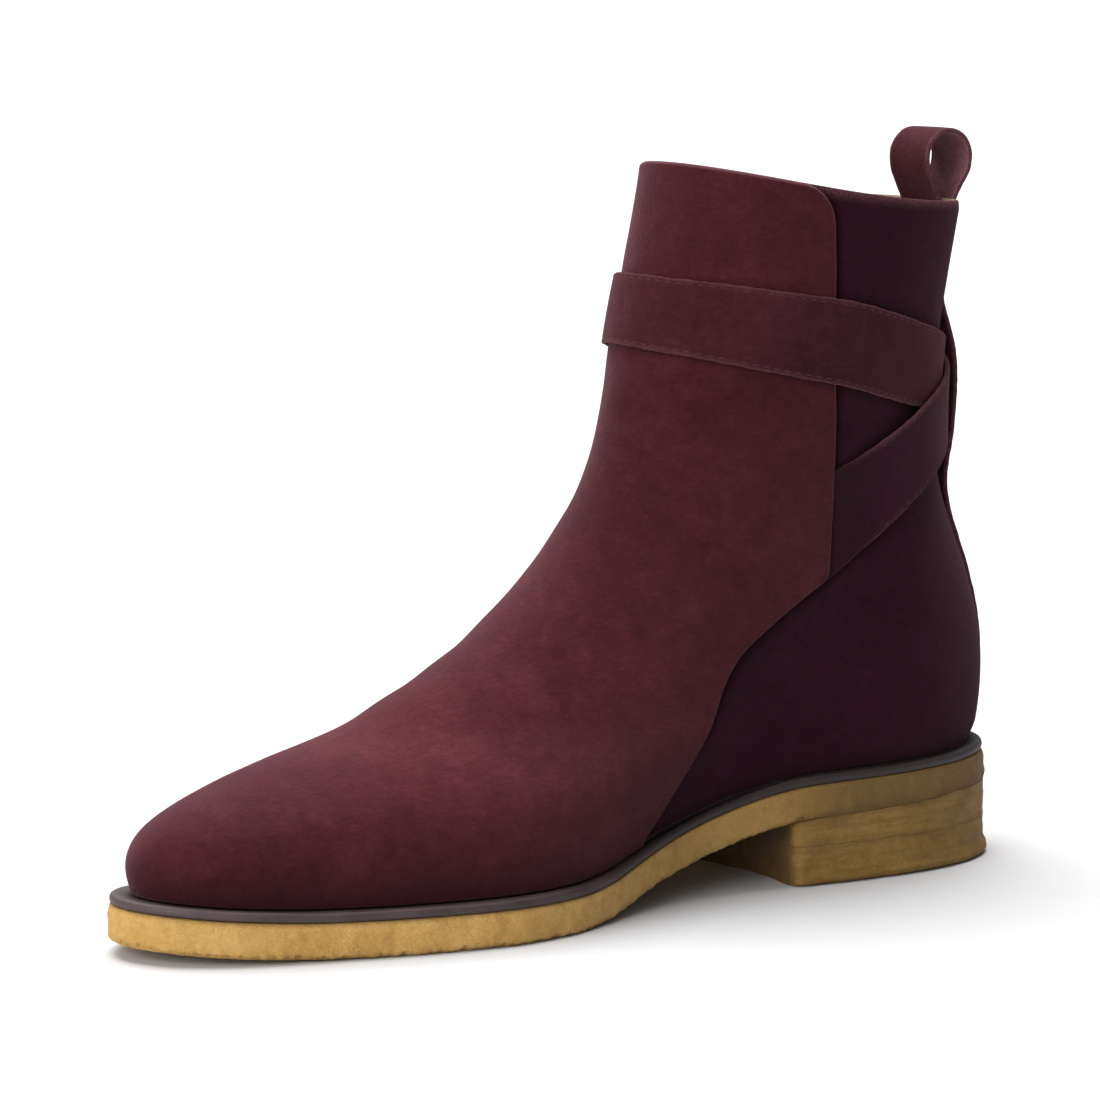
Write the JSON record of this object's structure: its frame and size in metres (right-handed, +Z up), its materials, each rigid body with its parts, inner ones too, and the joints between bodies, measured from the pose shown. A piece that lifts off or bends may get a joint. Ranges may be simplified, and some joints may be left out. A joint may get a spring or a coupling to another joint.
{
  "type": "jodhpur boot",
  "caption": "Right suede jodhpur boot with a wrap-round ankle strap, side buckle, heel pull loop and thick crepe sole with a low heel.",
  "frame": {"origin": "bottom centre of the whole boot's bounding box, on the floor under the sole", "axes": "+Z up, -Y towards the toe, +Y towards the heel, +X towards the inner (medial) side of this right boot"},
  "size_m": [0.105, 0.3029, 0.2132],
  "materials": {
    "crepe": "matt amber crepe rubber, mottled",
    "welt_leather": "satin dark leather",
    "burgundy_suede": "napped suede",
    "burgundy_suede_panel": "napped suede",
    "burgundy_suede_strap": "napped suede",
    "mauve_suede": "napped suede",
    "footbed_leather": "smooth leather",
    "pale_gold": "polished pale gold"
  },
  "bodies": {
    "root": {"outsole": "crepe", "heel_lift": "crepe", "heel_top_piece": "crepe", "welt": "welt_leather", "insole": "footbed_leather", "upper": "burgundy_suede", "front_panel": "burgundy_suede_panel", "strap_buckle": "burgundy_suede_strap", "strap_tongue": "burgundy_suede_strap", "back_stay": "burgundy_suede_strap", "pull_loop": "mauve_suede", "buckle_frame": "pale_gold", "buckle_prong": "pale_gold"}
  },
  "joints": []
}
